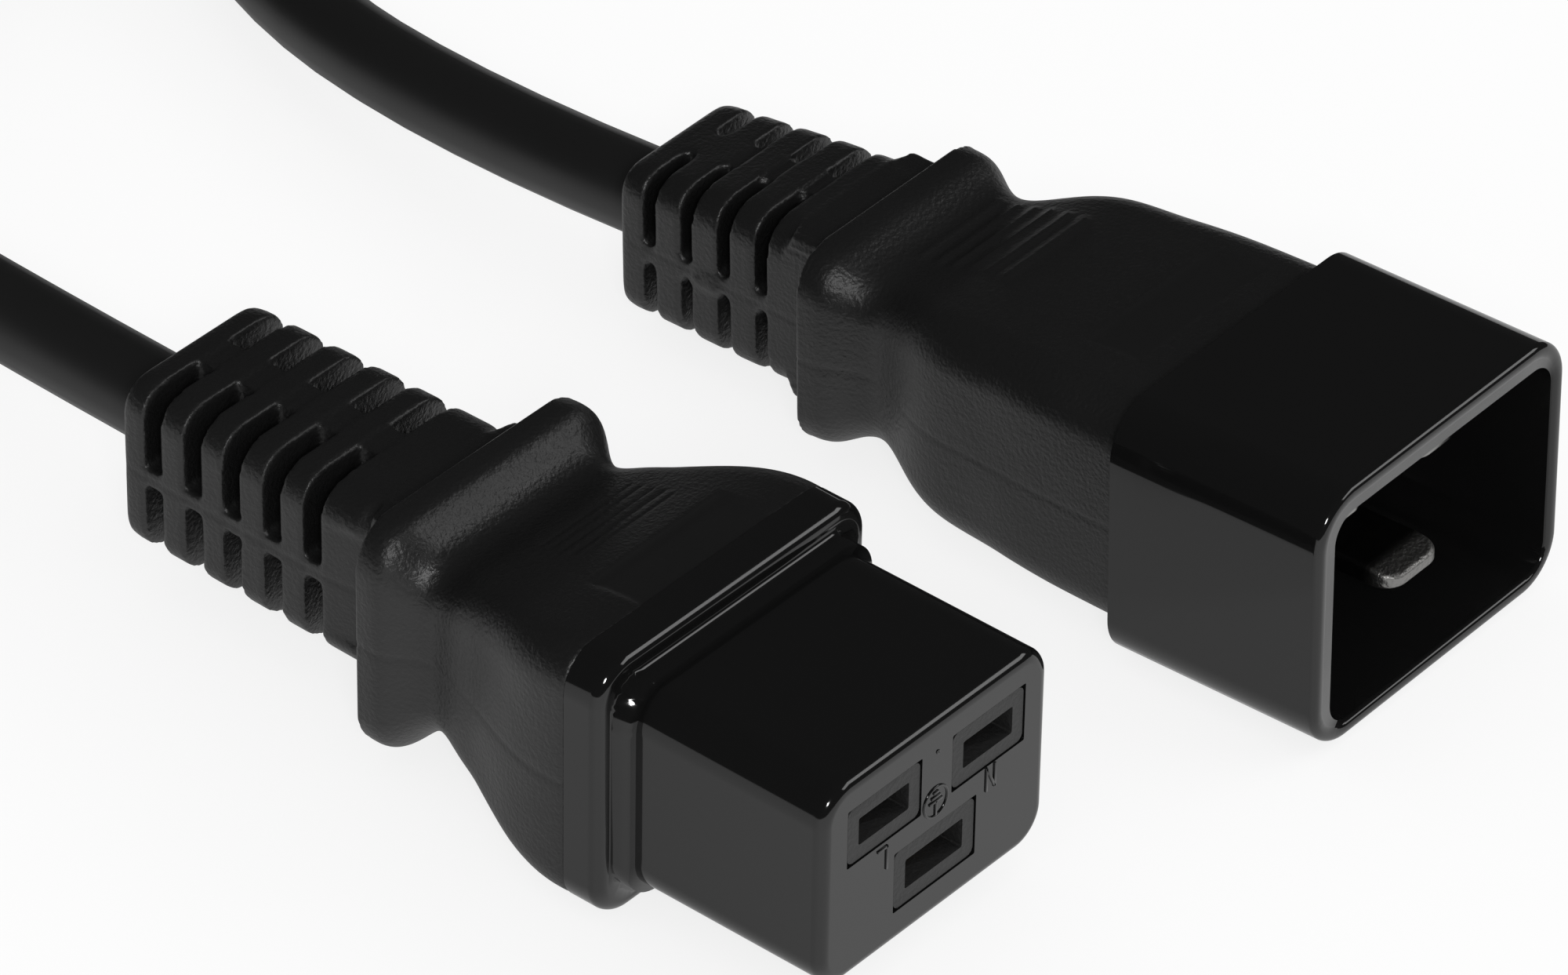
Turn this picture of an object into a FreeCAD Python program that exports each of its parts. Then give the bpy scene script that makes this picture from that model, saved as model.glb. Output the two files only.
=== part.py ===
import FreeCAD, Part
import math
import os
import Sketcher
from FreeCAD import Placement, Rotation, Vector

# A C19 power connector on its free mains cord, with the C20 plug on the cord's other end.
# Frame: +X is the way the connector is pushed home, +Z is up, and the surface it lies on is z = 0.
# The origin is at the middle of the connector's length and width, on that surface.
# Each end is drawn in its own axes: x = 0 at its front face and the other two axes through its middle.

doc = FreeCAD.newDocument("c19_connector")
sheet = doc.addObject("Spreadsheet::Sheet", "sizes")

SIZES = {
    # contact pattern, shared by both ends (millimetres throughout)
    "contact_spacing": 13.0,
    "contact_rise": 4.3,
    "earth_drop": 8.0,
    # connector: front housing
    "nose_width": 28.3,
    "nose_height": 20.1,
    "nose_length": 21.2,
    "nose_corner": 3.4,
    "nose_round": 1.1,
    "collar_width": 30.4,
    "collar_height": 21.3,
    "collar_length": 1.7,
    "collar_corner": 4.0,
    "flange_width": 33.3,
    "flange_height": 25.8,
    "flange_length": 3.8,
    "flange_corner": 3.8,
    "flange_round": 1.2,
    "housing_wall": 1.6,
    "face_wall": 1.5,
    "window_corner": 0.15,
    "window_gap": 0.15,
    "fit_gap": 0.1,
    # connector: contact carrier
    "live_rim_width": 8.9,
    "live_rim_height": 5.5,
    "earth_rim_width": 10.0,
    "earth_rim_height": 5.8,
    "rim_corner": 0.7,
    "rim_recess": 0.1,
    "live_slot_width": 6.2,
    "live_slot_height": 2.7,
    "earth_slot_width": 7.2,
    "earth_slot_height": 2.95,
    "slot_depth": 2.6,
    "slot_corner": 0.2,
    "chamber_step": 0.2,
    "carrier_tail": 2.6,
    # connector: spring contacts
    "spring_height": 3.6,
    "spring_sheet": 0.5,
    "spring_mouth": 3.0,
    "spring_length": 13.0,
    "spring_grip": 1.7,
    "spring_flare": 2.4,
    "grip_back": 3.0,
    # crimp barrels, cores and strands of both ends
    "neck_length": 1.4,
    "neck_width": 2.2,
    "neck_thickness": 1.0,
    "barrel_diameter": 2.9,
    "barrel_length": 6.0,
    "strand_diameter": 1.7,
    "core_diameter": 3.0,
    "core_lay": 1.85,
    "core_straight": 5.0,
    "strip_gap": 1.5,
    "jacket_diameter": 8.2,
    "jacket_insert": 17.5,
    # connector: overmould
    "grip_length": 28.4,
    "shoulder_length": 9.9,
    "shoulder_width": 28.0,
    "shoulder_height": 23.2,
    "shoulder_corner": 4.4,
    "waist_width": 22.6,
    "waist_height": 17.2,
    "waist_corner": 4.0,
    "seam_step": 0.15,
    "label_gap": 0.0,
    "label_length": 5.8,
    "label_width": 16.0,
    "label_aside": 1.0,
    "label_rise": -0.25,
    "line_gap": 8.9,
    "line_count": 5,
    "line_pitch": 1.15,
    "line_length": 0.45,
    "line_width": 11.5,
    "line_aside": 1.75,
    "line_rise": -0.15,
    "relief_length": 29.8,
    "relief_width": 17.0,
    "relief_height": 17.4,
    "relief_taper": 0.73,
    "relief_corner": 3.2,
    "relief_round": 1.2,
    "slot_count": 5,
    "slot_pitch": 4.71,
    "slot_width": 2.1,
    "slot_first": 5.9,
    "slot_round": 0.2,
    "spine_width": 3.6,
    "bar_height": 1.8,
    "sleeve_wall": 1.2,
    # plug: shroud and pins
    "shroud_width": 34.3,
    "shroud_height": 25.4,
    "shroud_length": 21.6,
    "shroud_corner": 4.6,
    "shroud_wall": 2.1,
    "shroud_round": 0.7,
    "shroud_floor": 2.4,
    "live_pin_recess": 5.1,
    "earth_pin_recess": 2.2,
    "live_pin_width": 6.0,
    "earth_pin_width": 7.0,
    "pin_thickness": 2.0,
    "pin_corner": 1.8,
    "pin_edge": 0.5,
    "pin_carrier_length": 6.0,
    "pin_carrier_width": 24.0,
    "pin_carrier_height": 16.0,
    "pin_carrier_corner": 2.0,
    # plug: overmould
    "plug_grip_length": 42.0,
    "plug_body_width": 30.8,
    "plug_body_height": 22.4,
    "plug_body_corner": 3.8,
    "plug_shoulder_length": 11.6,
    "plug_shoulder_width": 26.4,
    "plug_shoulder_height": 20.6,
    "plug_waist_width": 21.6,
    "plug_waist_height": 16.8,
    "plug_relief_length": 21.1,
    "plug_relief_width": 16.8,
    "plug_relief_height": 16.8,
    "plug_relief_taper": 1.58,
    "plug_slot_count": 4,
    "plug_slot_pitch": 4.53,
    "plug_slot_first": 5.5,
    "plug_slot_round": 0.98,
    "plug_label_gap": 4.4,
    "plug_label_length": 5.5,
    "plug_label_width": 17.0,
    "plug_label_aside": 1.0,
    "plug_label_rise": -0.15,
    "plug_line_gap": 21.1,
    "plug_line_count": 6,
    "plug_line_pitch": 1.8,
    "plug_line_length": 0.9,
    "plug_line_width": 11.0,
    "plug_line_aside": 1.5,
    "plug_line_rise": 0.15,
    # where the plug lies beside the connector, turned a little and tipped up at its front
    "plug_ahead": 8.65,
    "plug_beside": 55.35,
    "plug_turn": 0.9,
    "plug_tip": 1.6,
    # the put-away coil of the cord
    "coil_behind": 167.5,
    "coil_beside": 41.0,
    "coil_middle": 88.3,
    "coil_layers": 2,
    "coil_rows": 3,
    "coil_corner": 3.6,
    "coil_slack": 0.1,
    "tie_thickness": 0.9,
    "tie_angle": 11.0,
    "lead_straight": 30.0,
    "plug_lead_straight": 38.0,
}

for row, (alias, value) in enumerate(SIZES.items(), start=1):
    sheet.set("A%d" % row, alias)
    sheet.set("B%d" % row, str(value))
    sheet.setAlias("B%d" % row, alias)
doc.recompute()


def size(alias):
    return float(sheet.get(alias))


# Lengths that several pieces share, written once as expressions over the sheet.
FLANGE_BACK = "(sizes.nose_length + sizes.flange_length)"
CONNECTOR_FOOT = "(%s + sizes.grip_length)" % FLANGE_BACK
CONNECTOR_END = "(%s + sizes.relief_length)" % CONNECTOR_FOOT
PLUG_FOOT = "(sizes.shroud_length + sizes.plug_grip_length)"
PLUG_END = "(%s + sizes.plug_relief_length)" % PLUG_FOOT
CARRIER_FRONT = "(sizes.face_wall + sizes.fit_gap)"
CARRIER_BACK = "(%s + sizes.carrier_tail)" % FLANGE_BACK
CARRIER_WIDTH = "(sizes.nose_width - 2 * sizes.housing_wall - 2 * sizes.fit_gap)"
CARRIER_HEIGHT = "(sizes.nose_height - 2 * sizes.housing_wall - 2 * sizes.fit_gap)"
CARRIER_CORNER = "(sizes.nose_corner - sizes.housing_wall)"
CHAMBER_HEIGHT = "(sizes.spring_height + 2 * sizes.fit_gap)"
BORE_DIAMETER = "(sizes.strand_diameter + sizes.fit_gap)"
PIN_CARRIER_BACK = "(sizes.shroud_length + sizes.pin_carrier_length)"
CORD_BORE = "(sizes.jacket_diameter + sizes.fit_gap)"
COIL_DEPTH = "(sizes.coil_rows * sizes.jacket_diameter + sizes.coil_slack)"
COIL_HEIGHT = "(sizes.coil_layers * sizes.jacket_diameter + sizes.coil_slack)"

# Each pole: where it stands across and up, and the sizes of its slot, rim and pin.
POLES = {
    "line": ("-sizes.contact_spacing / 2", "sizes.contact_rise", "live", 150),
    "neutral": ("sizes.contact_spacing / 2", "sizes.contact_rise", "live", 30),
    "earth": ("0", "sizes.contact_rise - sizes.earth_drop", "earth", 270),
}


def worth(expression):
    """The value of an expression over the sheet, for shapes that are made in code."""
    return float(sheet.evalExpression(expression))


def bind(target, **expressions):
    """Bind properties to expressions; a double underscore stands for a dot in the path."""
    for path, expression in expressions.items():
        target.setExpression(path.replace("__", "."), expression)


def plug_axes():
    return Rotation(size("plug_turn"), -size("plug_tip"), 0)


def finish_piece(piece, label, end, pole=None):
    """Name a finished piece and put it at its pole, where its end of the cord lies."""
    piece.Label = label
    aside, rise = POLES[pole][:2] if pole else ("0", "0")
    if end == "connector":
        place = ["%s / 2" % CONNECTOR_END, aside, "sizes.flange_height / 2 + %s" % rise]
    else:
        piece.Placement.Rotation = plug_axes()
        place = [
            "%s + (%s) * (%s) + (%s) * (%s)" % (origin, aside, across, rise, up)
            for origin, across, up in zip(PLUG_ORIGIN, PLUG_ACROSS, PLUG_UP)
        ]
    bind(piece, Placement__Base__x=place[0], Placement__Base__y=place[1], Placement__Base__z=place[2])
    PIECES.append(piece)
    return piece


PIECES = []

# The plug lies on the back edge of its shroud; its axes are turned from the part's by these.
TURN, TIP = "(sizes.plug_turn * 1 deg)", "(sizes.plug_tip * 1 deg)"
PLUG_ORIGIN = [
    "%s / 2 + sizes.plug_ahead" % CONNECTOR_END,
    "sizes.plug_beside",
    "sizes.shroud_height / 2 * cos%s + sizes.shroud_length * sin%s" % (TIP, TIP),
]
PLUG_ACROSS = ["-sin%s" % TURN, "cos%s" % TURN, "0"]
PLUG_UP = ["-cos%s * sin%s" % (TURN, TIP), "-sin%s * sin%s" % (TURN, TIP), "cos%s" % TIP]


# ---------------------------------------------------------------- sketches and features

def new_body(name):
    return doc.addObject("PartDesign::Body", name)


def new_sketch(body, name, role, ahead="0", aside="0", rise="0"):
    """A sketch on one of the body's own planes, moved along and across that plane."""
    sketch = body.newObject("Sketcher::SketchObject", name)
    plane = [f for f in body.Origin.OriginFeatures if f.Role == role][0]
    sketch.AttachmentSupport = [(plane, "")]
    sketch.MapMode = "FlatFace"
    bind(
        sketch,
        AttachmentOffset__Base__x=aside,
        AttachmentOffset__Base__y=rise,
        AttachmentOffset__Base__z=ahead,
    )
    return sketch


def constrain(sketch, name, expression, *constraint):
    """Add a dimension to a sketch and bind it to an expression."""
    index = sketch.addConstraint(Sketcher.Constraint(*constraint))
    sketch.renameConstraint(index, name)
    sketch.setExpression("Constraints." + name, expression)


def rounded_sketch(body, name, ahead, width, height, corner, aside="0", rise="0", role="YZ_Plane"):
    """A rounded rectangle across the mating axis, centred on (aside, rise)."""
    sketch = new_sketch(body, name, role, ahead, aside, rise)
    half_width, half_height, radius = worth(width) / 2, worth(height) / 2, worth(corner)
    middles = [
        Vector(half_width - radius, -half_height + radius, 0),
        Vector(half_width - radius, half_height - radius, 0),
        Vector(-half_width + radius, half_height - radius, 0),
        Vector(-half_width + radius, -half_height + radius, 0),
    ]
    normal = Vector(0, 0, 1)
    geometry = []
    for turn in range(4):
        start = math.radians(-90 + 90 * turn)
        reach = Vector(radius * math.cos(start), radius * math.sin(start), 0)
        line = Part.LineSegment(middles[turn - 1] + reach, middles[turn] + reach)
        circle = Part.Circle(middles[turn], normal, radius)
        geometry += [line, Part.ArcOfCircle(circle, start, start + math.pi / 2)]
    sketch.addGeometry(geometry, False)
    joints = []
    for index in range(8):
        joints.append(Sketcher.Constraint("Tangent", index, 2, (index + 1) % 8, 1))
    for index in (0, 4):
        joints.append(Sketcher.Constraint("Horizontal", index))
        joints.append(Sketcher.Constraint("Vertical", index + 2))
    for index in (3, 5, 7):
        joints.append(Sketcher.Constraint("Equal", 1, index))
    joints.append(Sketcher.Constraint("Symmetric", 0, 1, 4, 1, -1, 1))
    sketch.addConstraint(joints)
    constrain(sketch, "corner", corner, "Radius", 1, radius)
    constrain(sketch, "width", width, "DistanceX", 6, 1, 2, 1, 2 * half_width)
    constrain(sketch, "height", height, "DistanceY", 0, 1, 4, 1, 2 * half_height)
    return sketch


def disc_sketch(body, name, ahead, diameter, aside="0", rise="0"):
    sketch = new_sketch(body, name, "YZ_Plane", ahead, aside, rise)
    radius = worth(diameter) / 2
    sketch.addGeometry(Part.Circle(Vector(0, 0, 0), Vector(0, 0, 1), radius), False)
    sketch.addConstraint(Sketcher.Constraint("Coincident", 0, 3, -1, 1))
    constrain(sketch, "diameter", diameter, "Diameter", 0, 2 * radius)
    return sketch


def outline_sketch(body, name, role, corners, ahead="0"):
    """A closed outline of straight lines through corners given as pairs of expressions."""
    sketch = new_sketch(body, name, role, ahead)
    points = [Vector(worth(across), worth(up), 0) for across, up in corners]
    for index, point in enumerate(points):
        sketch.addGeometry(Part.LineSegment(point, points[(index + 1) % len(points)]), False)
    for index in range(len(points)):
        following = (index + 1) % len(points)
        sketch.addConstraint(Sketcher.Constraint("Coincident", index, 2, following, 1))
    for index, (across, up) in enumerate(corners):
        constrain(sketch, "x%d" % index, across, "DistanceX", index, 1, points[index].x)
        constrain(sketch, "y%d" % index, up, "DistanceY", index, 1, points[index].y)
    return sketch


def pad(body, name, sketch, length, backwards=True):
    feature = body.newObject("PartDesign::Pad", name)
    feature.Profile = sketch
    feature.Reversed = backwards
    bind(feature, Length=length)
    return feature


def pocket(body, name, sketch, length, forwards=False):
    """Cut towards the back, or towards the front face where forwards is set."""
    feature = body.newObject("PartDesign::Pocket", name)
    feature.Profile = sketch
    feature.Reversed = forwards
    bind(feature, Length=length)
    return feature


def round_edges(body, name, feature, radius, chosen):
    """Round the edges of a feature that the chosen function picks."""
    doc.recompute()
    names = []
    for index, edge in enumerate(feature.Shape.Edges, start=1):
        if chosen(edge):
            names.append("Edge%d" % index)
    fillet = body.newObject("PartDesign::Fillet", name)
    fillet.Base = (feature, names)
    bind(fillet, Radius=radius)
    return fillet


def at_station(x):
    """Picks the edges that lie in one plane across the mating axis."""
    return lambda edge: max(abs(edge.BoundBox.XMin - x), abs(edge.BoundBox.XMax - x)) < 1e-4


def boolean(kind, name, base, tool):
    feature = doc.addObject(kind, name)
    feature.Base = base
    feature.Tool = tool
    return feature


def fused(name, shapes):
    feature = doc.addObject("Part::MultiFuse", name)
    feature.Shapes = shapes
    return feature


# ---------------------------------------------------------------- connector: front housing

def make_front_housing():
    """Glossy hard shell: flange, collar and nose in one moulding, open at the back."""
    body = new_body("front_housing")
    flange = pad(
        body,
        "flange",
        rounded_sketch(
            body, "flange_outline", "-" + FLANGE_BACK,
            "sizes.flange_width", "sizes.flange_height", "sizes.flange_corner",
        ),
        "sizes.flange_length",
        backwards=False,
    )
    front = -worth("sizes.nose_length")
    round_edges(body, "flange_edge", flange, "sizes.flange_round", at_station(front))
    pad(
        body,
        "collar",
        rounded_sketch(
            body, "collar_outline", "-sizes.nose_length",
            "sizes.collar_width", "sizes.collar_height", "sizes.collar_corner",
        ),
        "sizes.collar_length",
        backwards=False,
    )
    nose = pad(
        body,
        "nose",
        rounded_sketch(
            body, "nose_outline", "-sizes.nose_length",
            "sizes.nose_width", "sizes.nose_height", "sizes.nose_corner",
        ),
        "sizes.nose_length",
        backwards=False,
    )
    round_edges(body, "nose_edge", nose, "sizes.nose_round", at_station(0))
    pocket(
        body,
        "inside",
        rounded_sketch(
            body, "inside_outline", "-" + FLANGE_BACK,
            "sizes.nose_width - 2 * sizes.housing_wall",
            "sizes.nose_height - 2 * sizes.housing_wall",
            CARRIER_CORNER,
        ),
        FLANGE_BACK + " - sizes.face_wall",
        forwards=True,
    )
    for pole, (aside, rise, family, _) in POLES.items():
        window = rounded_sketch(
            body, pole + "_window_outline", "0",
            "sizes.%s_rim_width + 2 * sizes.window_gap" % family,
            "sizes.%s_rim_height + 2 * sizes.window_gap" % family,
            "sizes.window_corner",
            aside, rise,
        )
        pocket(body, pole + "_window", window, "sizes.face_wall + sizes.fit_gap")
    return finish_piece(body, "front_housing", "connector")


# ---------------------------------------------------------------- connector: contact carrier

def make_contact_carrier():
    """Block inside the housing: its three rims fill the windows, its chambers hold the springs."""
    body = new_body("contact_carrier")
    pad(
        body,
        "block",
        rounded_sketch(
            body, "block_outline", "-" + CARRIER_FRONT,
            CARRIER_WIDTH, CARRIER_HEIGHT, CARRIER_CORNER,
        ),
        "%s - %s" % (CARRIER_BACK, CARRIER_FRONT),
    )
    for pole, (aside, rise, family, _) in POLES.items():
        rim = rounded_sketch(
            body, pole + "_rim_outline", "-sizes.rim_recess",
            "sizes.%s_rim_width" % family, "sizes.%s_rim_height" % family, "sizes.rim_corner",
            aside, rise,
        )
        pad(body, pole + "_rim", rim, CARRIER_FRONT + " - sizes.rim_recess")
    for pole, (aside, rise, family, _) in POLES.items():
        slot = rounded_sketch(
            body, pole + "_slot_outline", "-sizes.rim_recess",
            "sizes.%s_slot_width" % family, "sizes.%s_slot_height" % family, "sizes.slot_corner",
            aside, rise,
        )
        pocket(body, pole + "_slot", slot, "sizes.slot_depth")
        chamber = rounded_sketch(
            body, pole + "_chamber_outline", "-" + CARRIER_BACK,
            "sizes.%s_slot_width + 2 * sizes.chamber_step" % family,
            CHAMBER_HEIGHT, "sizes.slot_corner",
            aside, rise,
        )
        depth = CARRIER_BACK + " - sizes.rim_recess - sizes.slot_depth"
        pocket(body, pole + "_chamber", chamber, depth, forwards=True)
    return finish_piece(body, "contact_carrier", "connector")


# ---------------------------------------------------------------- crimp barrels

def add_barrel(body, neck_front, aside, rise):
    """A neck and a hollow crimp barrel behind it, on a contact or a pin."""
    neck = rounded_sketch(
        body, "neck_outline", "-" + neck_front,
        "sizes.neck_width", "sizes.neck_thickness", "sizes.slot_corner", aside, rise,
    )
    pad(body, "neck", neck, "sizes.neck_length")
    barrel_front = "(%s + sizes.neck_length)" % neck_front
    barrel = disc_sketch(
        body, "barrel_outline", "-" + barrel_front, "sizes.barrel_diameter", aside, rise
    )
    pad(body, "barrel", barrel, "sizes.barrel_length")
    bore = disc_sketch(
        body, "bore_outline", "-%s - sizes.barrel_length" % barrel_front, BORE_DIAMETER, aside, rise
    )
    pocket(body, "bore", bore, "sizes.barrel_length - sizes.neck_thickness", forwards=True)


SPRING_BACK = "(sizes.spring_mouth + sizes.spring_length)"
PIN_BACK = "(%s + sizes.neck_thickness)" % PIN_CARRIER_BACK


def make_spring_contact(pole):
    """Brass strip folded to two facing leaves that nip the blade, with a crimp barrel."""
    aside, rise, family, _ = POLES[pole]
    body = new_body(pole + "_contact")
    outside = "sizes.spring_height / 2"
    inside = "sizes.spring_height / 2 - sizes.spring_sheet"
    grip = "-sizes.spring_mouth - sizes.grip_back"
    heel = "-sizes.spring_mouth - 3 * sizes.grip_back"
    back = "-" + SPRING_BACK
    upper = [
        ("-sizes.spring_mouth", "sizes.spring_flare / 2 + sizes.spring_sheet"),
        (grip, "sizes.spring_grip / 2 + sizes.spring_sheet"),
        (heel, outside),
        (back, outside),
    ]
    inner = [
        (back + " + sizes.spring_sheet", inside),
        (heel, inside),
        (grip, "sizes.spring_grip / 2"),
        ("-sizes.spring_mouth", "sizes.spring_flare / 2"),
    ]
    lower = [(across, "-(%s)" % up) for across, up in reversed(upper)]
    lower_inner = [(across, "-(%s)" % up) for across, up in reversed(inner)]
    strip = outline_sketch(body, "strip", "XZ_Plane", upper + lower + lower_inner + inner)
    leaves = body.newObject("PartDesign::Pad", "leaves")
    leaves.Profile = strip
    leaves.Midplane = True
    bind(leaves, Length="sizes.%s_slot_width + 2 * (sizes.chamber_step - sizes.fit_gap)" % family)
    add_barrel(body, SPRING_BACK, "0", "0")
    return body


# ---------------------------------------------------------------- plug: shroud, carrier and pins

def make_shroud():
    """Glossy hard skirt round the pins, closed at the back by a floor that the pins pass through."""
    body = new_body("plug_shroud")
    skirt = pad(
        body,
        "skirt",
        rounded_sketch(
            body, "skirt_outline", "-sizes.shroud_length",
            "sizes.shroud_width", "sizes.shroud_height", "sizes.shroud_corner",
        ),
        "sizes.shroud_length",
        backwards=False,
    )
    round_edges(body, "skirt_edge", skirt, "sizes.shroud_round", at_station(0))
    cavity = rounded_sketch(
        body, "cavity_outline", "0",
        "sizes.shroud_width - 2 * sizes.shroud_wall",
        "sizes.shroud_height - 2 * sizes.shroud_wall",
        "sizes.shroud_corner - sizes.shroud_wall",
    )
    pocket(body, "cavity", cavity, "sizes.shroud_length - sizes.shroud_floor")
    add_pin_holes(body, "0", "sizes.shroud_length + sizes.fit_gap")
    return finish_piece(body, "plug_shroud", "plug")


def add_pin_holes(body, ahead, depth):
    for pole, (aside, rise, family, _) in POLES.items():
        hole = rounded_sketch(
            body, pole + "_hole_outline", ahead,
            "sizes.%s_pin_width + 2 * sizes.fit_gap" % family,
            "sizes.pin_thickness + 2 * sizes.fit_gap",
            "sizes.slot_corner", aside, rise,
        )
        pocket(body, pole + "_hole", hole, depth)


def make_pin_carrier():
    """Block behind the shroud's floor that holds the pins in line."""
    body = new_body("pin_carrier")
    outline = rounded_sketch(
        body, "block_outline", "-sizes.shroud_length",
        "sizes.pin_carrier_width", "sizes.pin_carrier_height", "sizes.pin_carrier_corner",
    )
    pad(body, "block", outline, "sizes.pin_carrier_length")
    add_pin_holes(body, "-sizes.shroud_length", "sizes.pin_carrier_length + sizes.fit_gap")
    return finish_piece(body, "plug_pin_carrier", "plug")


def make_pin(pole):
    """Flat plated blade with a rounded tip, and a crimp barrel behind the carrier."""
    family = POLES[pole][2]
    body = new_body(pole + "_pin")
    tip, side = "-sizes.%s_pin_recess" % family, "sizes.%s_pin_width / 2" % family
    corners = [(tip, side), ("-" + PIN_BACK, side), ("-" + PIN_BACK, "-" + side), (tip, "-" + side)]
    blade = body.newObject("PartDesign::Pad", "blade")
    blade.Profile = outline_sketch(body, "blade_outline", "XY_Plane", corners)
    blade.Midplane = True
    bind(blade, Length="sizes.pin_thickness")
    front, back = worth(tip), -worth(PIN_BACK)
    upright = size("pin_thickness")
    tip_corners = round_edges(
        body, "tip_corners", blade, "sizes.pin_corner",
        lambda edge: edge.BoundBox.XMin > front - 1e-4 and edge.BoundBox.ZLength > upright / 2,
    )
    round_edges(
        body, "long_edges", tip_corners, "sizes.pin_edge",
        lambda edge: edge.BoundBox.XMax > back + 1e-3 and edge.BoundBox.ZLength < 1e-4,
    )
    add_barrel(body, PIN_BACK, "0", "0")
    return finish_piece(body, "plug_%s_pin" % pole, "plug", pole)


# ---------------------------------------------------------------- cores and strands

# An arc takes this share of the shorter of the two runs that it joins.
ARC_SHARE = 0.45


def rounded_route(points, longest=math.inf):
    """Straight runs joined by tangent arcs as large as the runs allow, and the arcs' radii."""
    runs = [after - before for before, after in zip(points, points[1:])]
    edges, radii, start = [], [], points[0]
    for corner, before, after in zip(points[1:], runs, runs[1:]):
        turn = before.getAngle(after)
        trim = ARC_SHARE * min(before.Length, after.Length, longest)
        radius = trim / math.tan(turn / 2)
        toward = Vector(after).normalize()
        back = Vector(before).normalize() * -1
        enter, leave = corner + back * trim, corner + toward * trim
        inward = (toward + back).normalize()
        middle = corner + inward * (radius / math.cos(turn / 2) - radius)
        edges.append(Part.LineSegment(start, enter).toShape())
        edges.append(Part.Arc(enter, middle, leave).toShape())
        radii.append(radius)
        start = leave
    edges.append(Part.LineSegment(start, points[-1]).toShape())
    return Part.Wire(edges), radii


def tube(points, diameter, longest=math.inf):
    """A round solid along a rounded route, checked against its section times its length."""
    route, _ = rounded_route(points, longest)
    ring = Part.Circle(points[0], points[1] - points[0], diameter / 2).toShape()
    solid = route.makePipeShell([Part.Wire(ring)], True, False)
    expected = math.pi * diameter ** 2 / 4 * route.Length
    if abs(solid.Volume - expected) > 0.01 * expected:
        raise RuntimeError("a tube came out with the wrong volume")
    return solid


def core_route(pole, end, reach):
    """A core's points from the jacket's end to its crimp barrel, reach beyond the barrel's mouth."""
    aside, rise, _, lay = POLES[pole]
    length = CONNECTOR_END if end == "connector" else PLUG_END
    contact_back = SPRING_BACK if end == "connector" else PIN_BACK
    first = -worth("%s - sizes.jacket_insert" % length)
    last = -worth("%s + sizes.neck_length + sizes.barrel_length" % contact_back)
    straight = size("core_straight")
    inner = Vector(0, math.cos(math.radians(lay)), math.sin(math.radians(lay))) * size("core_lay")
    outer = Vector(0, worth(aside), worth(rise))
    return [
        inner + Vector(first, 0, 0),
        inner + Vector(first + straight, 0, 0),
        outer + Vector(last - straight, 0, 0),
        outer + Vector(last + reach, 0, 0),
    ]


def make_core(pole, end):
    """A core's coloured insulation and, through it, the copper strands that its barrel grips."""
    gap = size("strip_gap")
    grip = worth("sizes.barrel_length - sizes.neck_thickness - sizes.fit_gap")
    bend = size("core_straight") - gap
    sleeve = tube(core_route(pole, end, -gap), size("core_diameter"), bend)
    bore = tube(core_route(pole, end, 0), worth(BORE_DIAMETER), bend)
    insulation = doc.addObject("Part::Feature", "%s_%s_insulation" % (end, pole))
    insulation.Shape = sleeve.cut(bore)
    finish_piece(insulation, "%s_%s_core" % (end, pole), end)
    strands = doc.addObject("Part::Feature", "%s_%s_strands" % (end, pole))
    strands.Shape = tube(core_route(pole, end, grip), size("strand_diameter"), bend)
    finish_piece(strands, "%s_%s_strands" % (end, pole), end)


# ---------------------------------------------------------------- overmoulds

# How far along from the foot to the waist, and how much of the shoulder stands there.
SHOULDER_RISE = ((0.0, 0.0), (0.16, 0.62), (0.3, 0.93), (0.46, 1.0))
SHOULDER_FALL = ((0.62, 0.86), (0.78, 0.34), (1.0, 0.0))
# How far along from the waist to the front, and how much of the front's girth is reached.
CONNECTOR_FLARE = ((0.18, 0.22), (0.4, 0.545), (0.65, 0.84), (1.0, 1.0))
PLUG_FLARE = ((0.1, 0.17), (0.22, 0.5), (0.4, 0.76), (0.68, 0.94), (1.0, 1.0))


def girth(prefix):
    """Width, height and corner of a station, as expressions."""
    return ["sizes.%s_%s" % (prefix, side) for side in ("width", "height", "corner")]


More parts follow.
